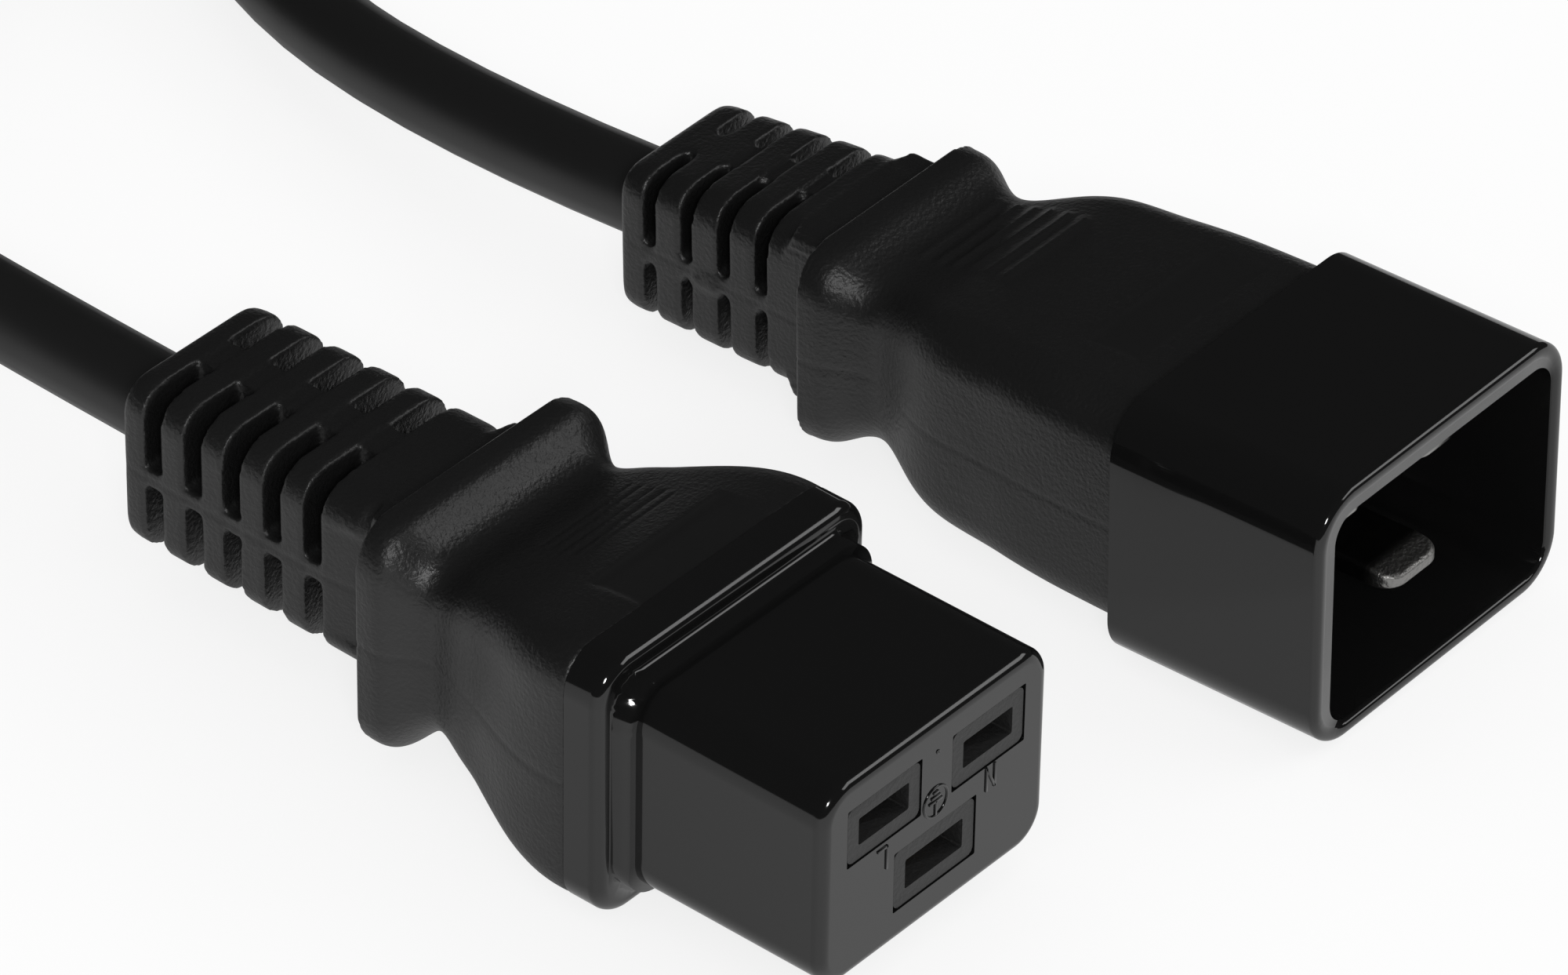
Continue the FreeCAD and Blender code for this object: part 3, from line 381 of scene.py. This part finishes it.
@contextlib.contextmanager
def selected(piece, chosen=None):
    """Edit mode with the chosen vertices selected, from an array of truths, or with all of them."""
    if chosen is None:
        chosen = numpy.ones(len(piece.data.vertices), dtype=bool)
    for parts in (piece.data.edges, piece.data.polygons):
        parts.foreach_set("select", numpy.zeros(len(parts), dtype=bool))
    piece.data.vertices.foreach_set("select", chosen)
    activate(piece)
    bpy.ops.object.mode_set(mode="EDIT")
    bpy.ops.mesh.select_mode(type="VERT")
    yield
    bpy.ops.object.mode_set(mode="OBJECT")


def swell(piece, chosen, height):
    """Raises the chosen vertices along their normals by millimetres, or sinks them."""
    with selected(piece, chosen):
        bpy.ops.transform.shrink_fatten(value=height * MM)


def scale_about(piece, chosen, factors, centre):
    """Scales the chosen vertices about a place in millimetres."""
    with selected(piece, chosen):
        bpy.ops.transform.resize(value=factors, center_override=Vector(centre) * MM)


def merged_copy(node, name):
    """A copy of a CAD node's mesh, with the seams between its triangles closed."""
    piece = bpy.data.objects.new(name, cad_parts[node].data.copy())
    bpy.context.scene.collection.objects.link(piece)
    with selected(piece):
        bpy.ops.mesh.remove_doubles(threshold=MERGE_DISTANCE)
    return piece


def wear(piece, material):
    """Gives a piece its one material, and lets it ride with the part."""
    piece.data.materials.clear()
    piece.data.materials.append(material)
    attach(piece, "root")
    return piece


def thin_tip(piece, length, share):
    """Thins a plug pin evenly over a length, in millimetres, to a share of itself at the tip."""
    piece.data.transform(PLUG_AXES.inverted())
    x, _, z = places_of(piece)
    tip = x.max()
    heights = z[x > tip - TIP_REACH]
    middle = (heights.max() + heights.min()) / 2
    with selected(piece):
        bpy.ops.mesh.bisect(plane_co=((tip - length) * MM, 0, 0), plane_no=(1, 0, 0))
    x = places_of(piece)[0].round(3)
    for level in sorted(set(x[x > tip - length + LEVEL_REACH])):
        factor = 1 - (1 - share) * (level - tip + length) / length
        scale_about(piece, x == level, (1, 1, factor), (0, 0, middle))
    piece.data.transform(PLUG_AXES)


def moulded(node, name, material, flat_front=False, thin=None):
    """A hard piece: the CAD form with even shading over its rounded edges.

    With flat_front, the front face becomes one face, so that it shades as flat. With thin, a plug
    pin's tip is thinned over that length to that share.
    """
    piece = merged_copy(node, name)
    if thin:
        thin_tip(piece, *thin)
    if flat_front:
        x = places_of(piece)[0]
        with selected(piece, x > x.max() - FRONT_REACH):
            bpy.ops.mesh.dissolve_limited(angle_limit=FLAT_ENOUGH)
    activate(piece)
    bpy.ops.object.shade_smooth_by_angle(angle=SHARP_EDGE)
    apply_modifier(piece, "WEIGHTED_NORMAL", keep_sharp=True, weight=80)
    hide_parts(node)
    return wear(piece, material)


# ---------------------------------------------------------------- the soft overmoulds

# Lengths below are in millimetres, in each end's own axes, but for the voxel's, in metres.
VOXEL = 0.27 * MM
# The share of faces that is kept at the end, so that a grip stays below 200,000 triangles.
KEPT_FACES = 0.64
# How near to the relief's girth its skin is taken to lie, and what its grooves run across.
SKIN = 0.6
SPINE_HALF_WIDTH = 2.3
BAR_HALF_HEIGHT = 1.3
# The label's fine lines lie on top of the grip, about this place across.
LABEL_MIDDLE, LABEL_HALF_WIDTH = 1.6, 5.6
LABEL_LOWEST = 5
LINE_HALF_WIDTH = 0.15
# The bead of flash on the shoulder's lip, behind and before it, and its height.
BEAD_BEHIND, BEAD_BEFORE, BEAD_HEIGHT = 0.1, 0.22, 0.07
# The parting line, and how near to the relief's girth it starts.
SEAM_HALF_HEIGHT, SEAM_DEPTH, SEAM_REACH = 0.14, 0.06, 0.4
# How far beyond the relief's girth the shoulder's slope and the bead start, and the share of its
# depth that the slope keeps.
SLOPE_BEYOND, BEAD_BEYOND, SLOPE_KEPT = 0.12, 1.8, 0.02
# The rear end is rounded over this length, down to this far inside the relief's girth.
ROUNDED_LENGTH, ROUNDED_DEPTH = 1.5, 3.0
# A girth is scaled in full this far to both sides of its middle, and the relief's rear end hangs
# in full over this length.
FULL_GIRTH, HANGING_LENGTH = 0.5, 1.0
# The relief is widened from just behind its foot, and the slope reaches a little behind that too.
WIDENED_BEHIND, SLOPE_BEHIND = 0.05, 0.3
# The width of a slot in the CAD form.
CAD_SLOT = 2.1


def remesh(piece):
    """Gives the piece a skin of small, even faces."""
    apply_modifier(piece, "REMESH", mode="VOXEL", voxel_size=VOXEL, use_smooth_shade=True)


def draw_along(piece, stations):
    """Draws a piece out or in along x, so that each station (from, to) moves to its place.

    The stations run from the front, which stays, to the rear end.
    """
    x = places_of(piece)[0]
    for (front, front_to), (rear, rear_to) in zip(stations, stations[1:]):
        last = rear == stations[-1][0]
        factor = (front_to - rear_to) / (front - rear)
        with selected(piece, (x <= front) & ((x > rear) | last)):
            bpy.ops.transform.resize(value=(factor, 1, 1), center_override=(front * MM, 0, 0))
            bpy.ops.transform.translate(value=((front_to - front) * MM, 0, 0))


def ease_girth(piece, middle, reach, sideways, upwards):
    """Scales the piece's girth at a place along x, fading to nothing at the reach on both sides."""
    with selected(piece, abs(places_of(piece)[0] - middle) < FULL_GIRTH):
        bpy.ops.transform.resize(
            value=(1, sideways, upwards), center_override=(middle * MM, 0, 0),
            use_proportional_edit=True, proportional_edit_falloff="SMOOTH",
            proportional_size=reach * MM,
        )


def beyond_relief(form, places, spare):
    """True for places outside the relief's girth, grown by spare."""
    x, y, z = places
    grown = spare + (x - form["rear"]) * form["growth"]
    return (abs(y) > form["half_width"] + grown) | (abs(z) > form["half_height"] + grown)


def stand_up_shoulder(piece, form):
    """Presses what slopes behind the shoulder's lip into a wall that stands on the relief."""
    places = places_of(piece)
    x = places[0]
    behind_lip = (x < form["lip"]) & (x > form["foot"] - SLOPE_BEHIND)
    slope = behind_lip & beyond_relief(form, places, SLOPE_BEYOND)
    scale_about(piece, slope, (SLOPE_KEPT, 1, 1), (form["lip"], 0, 0))


def let_relief_hang(piece, form):
    """Lets the relief hang a little with the cord's weight, most at its rear end."""
    with selected(piece, places_of(piece)[0] < form["rear"] + HANGING_LENGTH):
        bpy.ops.transform.translate(
            value=(0, 0, -form["droop"] * MM), use_proportional_edit=True,
            proportional_edit_falloff="LINEAR",
            proportional_size=(form["foot"] - form["rear"]) * MM,
        )


def draw_fine_lines(piece, form):
    """The grooves, label lines, flash and parting line, and the rounding of the rear end."""
    half_width, half_height, lip = form["half_width"], form["half_height"], form["lip"]
    places = places_of(piece)
    x, y, z = places

    # Shallow grooves run over the spine, and more faintly over the side bars, at each slot.
    at_slots = numpy.zeros(len(x), dtype=bool)
    for (_, front), (_, behind) in zip(form["slots"][::2], form["slots"][1::2]):
        at_slots |= (x < front) & (x > behind)
    over_spine = (abs(z) > half_height - SKIN) & (abs(y) < SPINE_HALF_WIDTH)
    over_bars = (abs(y) > half_width - SKIN) & (abs(z) < BAR_HALF_HEIGHT)
    swell(piece, at_slots & over_spine, -form["spine_step"])
    swell(piece, at_slots & over_bars, -form["bar_step"])

    first, count, pitch, height = form["lines"]
    on_label = (abs(y - LABEL_MIDDLE) < LABEL_HALF_WIDTH) & (z > LABEL_LOWEST)
    for turn in range(count):
        middle = first + turn * pitch
        swell(piece, (abs(x - middle) < LINE_HALF_WIDTH) & on_label, height)

    at_lip = (x > lip - BEAD_BEHIND) & (x < lip + BEAD_BEFORE)
    swell(piece, at_lip & beyond_relief(form, places, BEAD_BEYOND), BEAD_HEIGHT)
    # The tool parts near mid-height and leaves a fine line along both sides.
    at_side = abs(y) > half_width - SEAM_REACH
    swell(piece, (abs(z - form["seam"]) < SEAM_HALF_HEIGHT) & at_side, -SEAM_DEPTH)

    at_rear = x < form["rear"] + ROUNDED_LENGTH
    with selected(piece, at_rear & beyond_relief(form, places, -ROUNDED_DEPTH)):
        bpy.ops.mesh.vertices_smooth(factor=0.5, repeat=form["rounding"])


def soft_moulding(node, name, axes, material, form, stub=None):
    """A soft moulding: the CAD form with its edges eased, as flexible PVC leaves a tool."""
    piece = merged_copy(node, name)
    piece.data.transform(axes.inverted())
    foot, rear = form["foot"], form["rear"]
    draw_along(piece, [(foot, foot)] + form["slots"] + [(form["cad_rear"], rear)])
    relief = places_of(piece)[0] < foot - WIDENED_BEHIND
    scale_about(piece, relief, (1, form["widen"], 1), (0, 0, 0))
    if stub:
        join(piece, [stub])
    remesh(piece)
    stand_up_shoulder(piece, form)
    for girth in form["girths"]:
        ease_girth(piece, *girth)
    if form["droop"]:
        let_relief_hang(piece, form)
    remesh(piece)
    apply_modifier(piece, "SMOOTH", factor=0.5, iterations=2)
    draw_fine_lines(piece, form)
    apply_modifier(piece, "DECIMATE", ratio=KEPT_FACES)
    piece.data.transform(axes)
    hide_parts(node)
    return wear(piece, material)


def slots(cad_first, cad_pitch, places):
    """Stations of a relief's slots, front to rear: where the CAD's lie and where they go."""
    stations = []
    for turn in reversed(range(len(places))):
        middle = cad_first + turn * cad_pitch
        rear_to, front_to = places[turn]
        stations += [(middle + CAD_SLOT / 2, front_to), (middle - CAD_SLOT / 2, rear_to)]
    return stations


# foot: where the relief starts in the CAD form. lip: the shoulder's rear edge. cad_rear and rear:
# the relief's rear end in the CAD form and here. half_width, half_height, growth: the relief's
# girth at that end, and how it grows forwards. slots: their edges, (in the CAD form, here).
# girths: where the grip's girth is eased, how far that reaches, and how much across and up.
# lines: the first label line's place, their count, pitch and height. widen: the relief's factor
# across. spine_step and bar_step: the grooves' depths. seam: the parting line's height.
# rounding: passes over the rear end. droop: how far that end hangs.
CONNECTOR_FORM = {
    "foot": -53.4, "lip": -50.0, "cad_rear": -83.2, "rear": -81.4,
    "half_width": 8.55, "half_height": 8.32, "growth": 0.0127,
    "slots": slots(-77.3, 4.71, [
        (-78.65, -76.7), (-74.1, -72.12), (-69.55, -67.57), (-64.95, -62.97), (-60.38, -58.42),
    ]),
    "girths": [(-43.5, 6.5, 1.06, 1.02), (-30.0, 9.0, 1.02, 1.0)],
    "lines": (-38.72, 5, 1.15, -0.07),
    "widen": 1.075, "spine_step": 0.14, "bar_step": 0.05, "seam": 0.0, "rounding": 14, "droop": 0,
}
PLUG_FORM = {
    "foot": -63.6, "lip": -58.9, "cad_rear": -84.7, "rear": -83.0,
    "half_width": 7.82, "half_height": 7.82, "growth": 0.0276,
    "slots": slots(-79.2, 4.53, [
        (-80.0, -78.6), (-75.7, -74.3), (-71.43, -70.04), (-67.14, -65.7),
    ]),
    "girths": [(-58.2, 5.5, 0.955, 0.975), (-45.0, 9.0, 1.04, 1.02), (-82.0, 14.0, 1.0, 0.95)],
    "lines": (-52.15, 6, 1.8, 0.08),
    "widen": 1.0, "spine_step": 0.28, "bar_step": 0.04, "seam": -0.35, "rounding": 14,
    "droop": 1.0,
}
GATE_PLACE = (-72.5, -8.15, -0.35)
GATE_HALF_SIZES = (1.5, 0.4, 0.7)


def broken_gate():
    """The torn stub where the plug's moulding was snapped from its runner, in the plug's axes."""
    bpy.ops.mesh.primitive_ico_sphere_add(subdivisions=3, radius=1.0 * MM)
    stub = bpy.context.object
    with selected(stub):
        bpy.ops.transform.resize(value=GATE_HALF_SIZES)
        bpy.ops.transform.vertex_random(offset=0.2 * MM, uniform=1.0, normal=0.5, seed=4)
    stub.data.transform(Matrix.Translation(Vector(GATE_PLACE) * MM))
    return stub


# ---------------------------------------------------------------- marks on the connector's face

MARK_WIDTH = 0.24
MARK_HEIGHT = 0.12
MARK_ROUNDING = 0.05 * MM
SHARP_MARK_EDGE = math.radians(40)
# The strokes' ends and the rings' middles, radii and widths, as (across, up) in millimetres.
# All stand upside down.
LINE_MARK = [((-6.15, -1.35), (-6.15, 0.85)), ((-6.15, 0.85), (-7.2, 0.85))]
NEUTRAL_MARK = [((6.35, -1.0), (6.35, 1.2)), ((7.4, -1.0), (7.4, 1.2)), ((6.35, 1.2), (7.4, -1.0))]
EARTH_MARK = [
    ((-0.1, 0.45), (-0.1, 1.75)), ((-0.8, 1.8), (0.6, 1.8)), ((-0.55, 2.25), (0.35, 2.25)),
    ((-0.3, 2.7), (0.1, 2.7)),
]
EARTH_RING = ((-0.1, 1.78), 1.45, 0.28)
GATE_DOT = ((0.03, 6.75), 0.12, 0.22)


def on_face(across, up):
    """What places a mark, made in millimetres, on the connector's face."""
    return CONNECTOR_AXES @ Matrix.Scale(MM, 4) @ Matrix.Translation((0, across, up))


def bar(start, end):
    """A raised stroke on the face between two places."""
    start, end = Vector(start), Vector(end)
    run = end - start
    bpy.ops.mesh.primitive_cube_add(size=1)
    stroke = bpy.context.object
    turn = Matrix.Rotation(math.atan2(run.y, run.x), 4, "X")
    size = Matrix.Diagonal((2 * MARK_HEIGHT, run.length + MARK_WIDTH, MARK_WIDTH, 1))
    stroke.data.transform(on_face(*(start + end) / 2) @ turn @ size)
    return stroke


def ring(middle, radius, width):
    """A raised ring on the face."""
    bpy.ops.mesh.primitive_torus_add(
        major_radius=radius, minor_radius=width / 2, major_segments=64, minor_segments=10,
    )
    hoop = bpy.context.object
    hoop.data.transform(on_face(*middle) @ Matrix.Rotation(math.pi / 2, 4, "Y"))
    return hoop


def face_marks():
    """L, N and the ringed earth sign, raised beside their slots, and the gate's dot."""
    first, *others = [bar(*stroke) for stroke in LINE_MARK + NEUTRAL_MARK + EARTH_MARK]
    join(first, others + [ring(*EARTH_RING), ring(*GATE_DOT)])
    first.name = "face_marks"
    apply_modifier(first, "BEVEL", width=MARK_ROUNDING, segments=2, limit_method="ANGLE")
    activate(first)
    bpy.ops.object.shade_smooth_by_angle(angle=SHARP_MARK_EDGE)
    return wear(first, GLOSS)


# ---------------------------------------------------------------- the cord

JACKET_DIAMETER = 8.2 * MM
COIL_MIDDLE = Vector((-167.5, 41.0, 0)) * MM
# The radius of the middle row of turns, and the heights of the two layers, at the cord's middle.
COIL_RADIUS = 44.15 * MM
LAYER_HEIGHTS = (5.25 * MM, 13.45 * MM)
COIL_TURNS = 5.5
# Angles along the coil are in degrees, and its points lie one step apart.
COIL_STEP = 20
JOG_LENGTH = 70
# Each jog is (the angle where it starts, rows outwards, layers up).
JOGS = [(290, -1, 0), (650, -1, 0), (1010, 0, 1), (1300, 1, 0), (1660, 1, 0)]
# Points of the cord's line at its two ends, in millimetres.
CONNECTOR_LEAD = [(-24.1, 0, 12.9), (-54.1, 0, 12.9), (-100.0, 7.0, 7.8), (-132.0, -3.0, 5.2)]
PLUG_LEAD = [(-130.0, 88.4, 8.0), (-95.0, 62.0, 5.2), (-54.9, 52.6, 8.0), (-16.9, 54.3, 11.3)]


def eased(share):
    """0 to 1 with a gentle start and end."""
    share = min(max(share, 0.0), 1.0)
    return share * share * (3 - 2 * share)


def coil_points():
    """Turns laid side by side, inwards along the floor and back out on top of them."""
    points = []
    last_angle = int(360 * COIL_TURNS)
    for turned in range(-COIL_STEP // 2, last_angle + COIL_STEP, COIL_STEP):
        row, layer = 1.0, 0.0
        for start, outwards, upwards in JOGS:
            done = eased((turned - start) / JOG_LENGTH)
            row += outwards * done
            layer += upwards * done
        # A quadratic spline runs inside its points by this much.
        inside = 0.75 + 0.25 * math.cos(math.radians(COIL_STEP))
        radius = (COIL_RADIUS + row * JACKET_DIAMETER) / inside
        height = LAYER_HEIGHTS[0] + layer * (LAYER_HEIGHTS[1] - LAYER_HEIGHTS[0])
        angle = math.radians(turned)
        away = Vector((-math.sin(angle), -math.cos(angle), 0)) * radius
        points.append(COIL_MIDDLE + away + Vector((0, 0, height)))
    return points


def in_metres(places):
    return [Vector(place) * MM for place in places]


def make_cord():
    """The jacket from the connector, through the coil, to the plug: one line from end to end."""
    points = in_metres(CONNECTOR_LEAD) + coil_points() + in_metres(PLUG_LEAD)
    curve = bpy.data.curves.new("cord", "CURVE")
    curve.dimensions = "3D"
    spline = curve.splines.new("NURBS")
    spline.points.add(len(points) - 1)
    for point, place in zip(spline.points, points):
        point.co = (*place, 1.0)
    spline.order_u = 3
    spline.use_endpoint_u = True
    spline.resolution_u = 8
    curve.bevel_depth = JACKET_DIAMETER / 2
    curve.bevel_resolution = 6
    curve.use_fill_caps = True
    cord = bpy.data.objects.new("cord", curve)
    bpy.context.scene.collection.objects.link(cord)
    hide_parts("cord_lead_at_connector", "cord_coil", "cord_lead_at_plug")
    wear(cord, CORD_PVC)


# ---------------------------------------------------------------- floor, lights and camera

FLOOR_SIZE = 60
FLOOR_DEPTH = 0.05 * MM
# The share of the floor that glows white of itself; the rest is card, which takes the shadows.
FLOOR_GLOW = 0.8
# Painted shade in the floor's reflections: how much dimmer the floor is in them, over the x of the
# way back to what reflects it:
# least in what faces right, and most in what faces left, away from the lamps, which shades those
# faces.
DIMMING_RANGE = (-0.4, 0.4)
FLOOR_PAINTED_SHADE = (-0.13, -0.42)
ROOM_LIGHT = grey(0.75)
ROOM_IN_REFLECTIONS = grey(0.036)
WHITE = grey(1.0)


def make_floor():
    """A white sweep. What looks at it, straight or in a reflection, sees it white with shadows; in
    reflections a painted shade dims it, most in what faces left.
    """
    bpy.ops.mesh.primitive_plane_add(size=FLOOR_SIZE, location=(0, 0, -FLOOR_DEPTH))
    floor = bpy.context.object
    floor.name = "floor"
    material, tree = new_material("white_card")
    ray = add_node(tree, "ShaderNodeLightPath")
    seen = maths(tree, "MAXIMUM", (ray, "Is Camera Ray"), (ray, "Is Glossy Ray"))
    seen = maths(tree, "MAXIMUM", (seen, 0), (ray, "Is Transmission Ray"))
    share = maths(tree, "MULTIPLY", (seen, 0), FLOOR_GLOW)
    card = add_node(tree, "ShaderNodeBsdfDiffuse", Color=linear("#f2f2f2"))
    meeting = add_node(tree, "ShaderNodeNewGeometry")
    parts = add_node(tree, "ShaderNodeSeparateXYZ", Vector=(meeting, "Incoming"))
    # Painted shade: in reflections the floor's glow is dimmed by the way back to what reflects it.
    dimmed = remapped(tree, (parts, "X"), DIMMING_RANGE, FLOOR_PAINTED_SHADE)
    strength = maths(tree, "MULTIPLY_ADD", (ray, "Is Glossy Ray"), (dimmed, "Result"), 1.0)
    glow = add_node(tree, "ShaderNodeEmission", Color=WHITE, Strength=(strength, 0))
    mix = add_node(tree, "ShaderNodeMixShader", **numbered((share, 0), (card, 0), (glow, 0)))
    finish_with(tree, mix)
    floor.data.materials.append(material)


def make_world():
    """White behind everything, and a dark room above for what reflects it."""
    world = bpy.data.worlds.new("studio")
    bpy.context.scene.world = world
    world.use_nodes = True
    tree = world.node_tree
    tree.nodes.clear()
    ray = add_node(tree, "ShaderNodeLightPath")
    room = add_node(
        tree, "ShaderNodeMixRGB",
        **numbered((ray, "Is Glossy Ray"), ROOM_LIGHT, ROOM_IN_REFLECTIONS),
    )
    seen = add_node(
        tree, "ShaderNodeMixRGB", **numbered((ray, "Is Camera Ray"), (room, 0), WHITE),
    )
    back = add_node(tree, "ShaderNodeBackground", Color=(seen, 0), Strength=1.0)
    output = add_node(tree, "ShaderNodeOutputWorld", Surface=(back, 0))
    output.is_active_output = True


def softbox(name, toward, distance, width, height, power):
    """A rectangular lamp that faces the connector from the given direction."""
    lamp = bpy.data.lights.new(name, "AREA")
    lamp.shape = "RECTANGLE"
    lamp.size, lamp.size_y, lamp.energy = width, height, power
    holder = bpy.data.objects.new(name, lamp)
    direction = Vector(toward).normalized()
    holder.location = direction * distance
    holder.rotation_mode = "QUATERNION"
    holder.rotation_quaternion = direction.to_track_quat("Z", "Y")
    bpy.context.scene.collection.objects.link(holder)


CAMERA_AZIMUTH = math.radians(39.683)
CAMERA_ELEVATION = math.radians(36.860)
CAMERA_ROLL = math.radians(1.071)
CAMERA_DISTANCE = 802.3 * MM
CAMERA_TARGET = Vector((3.879, 25.693, 12.741)) * MM
CAMERA_LENS = 220.24
CAMERA_SENSOR = 36
CAMERA_CLIP = (0.01, 100)


def make_camera():
    """A long lens, above and to the right of the connector's face."""
    camera_data = bpy.data.cameras.new("camera")
    camera_data.sensor_width = CAMERA_SENSOR
    camera_data.lens = CAMERA_LENS
    camera_data.clip_start, camera_data.clip_end = CAMERA_CLIP
    camera = bpy.data.objects.new("camera", camera_data)
    flat = math.cos(CAMERA_ELEVATION)
    back = Vector((
        math.sin(CAMERA_AZIMUTH) * flat, -math.cos(CAMERA_AZIMUTH) * flat,
        math.sin(CAMERA_ELEVATION),
    ))
    camera.location = CAMERA_TARGET + back * CAMERA_DISTANCE
    turn = (-back).to_track_quat("-Z", "Y").to_matrix() @ Matrix.Rotation(CAMERA_ROLL, 3, "Z")
    camera.rotation_mode = "QUATERNION"
    camera.rotation_quaternion = turn.to_quaternion()
    bpy.context.scene.collection.objects.link(camera)
    bpy.context.scene.camera = camera


# ---------------------------------------------------------------- the whole part

# The length of the plug pins' thinned tips, in millimetres, and the share they end with.
THINNED_TIP = (2.8, 0.62)


def dress_inner_nodes():
    """Finishes for the metal and the cores, whose CAD forms are shown as they are."""
    finishes = {}
    for pole in CORE_TINTS:
        finishes[pole + "_contact"] = BRASS
        for end in ("connector", "plug"):
            finishes["%s_%s_core" % (end, pole)] = CORES[pole]
            finishes["%s_%s_strands" % (end, pole)] = COPPER
    for node, material in finishes.items():
        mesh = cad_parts[node].data
        mesh.materials.clear()
        mesh.materials.append(material)


make_camera()
dress_inner_nodes()
moulded("front_housing", "front_shell", GLOSS, flat_front=True)
moulded("contact_carrier", "window_insert", MATTE, flat_front=True)
moulded("plug_shroud", "plug_shell", GLOSS)
moulded("plug_pin_carrier", "plug_pin_block", MATTE)
for pole in CORE_TINTS:
    moulded("plug_%s_pin" % pole, "plug_pin_" + pole, NICKEL, thin=THINNED_TIP)
face_marks()
soft_moulding(
    "connector_overmould", "connector_grip", CONNECTOR_AXES, CONNECTOR_PVC, CONNECTOR_FORM,
)
soft_moulding("plug_overmould", "plug_grip", PLUG_AXES, PLUG_PVC, PLUG_FORM, broken_gate())
moulded("cord_tie", "coil_strap", TAPE)
make_cord()
make_floor()
make_world()
softbox("key", (0.60, -0.60, 0.62), distance=1.3, width=0.22, height=0.22, power=6.0)
softbox("rim", (0.60, 0.62, 0.60), distance=1.4, width=1.0, height=0.4, power=3.6)

bpy.context.scene.view_settings.view_transform = "Standard"
deselect_all()
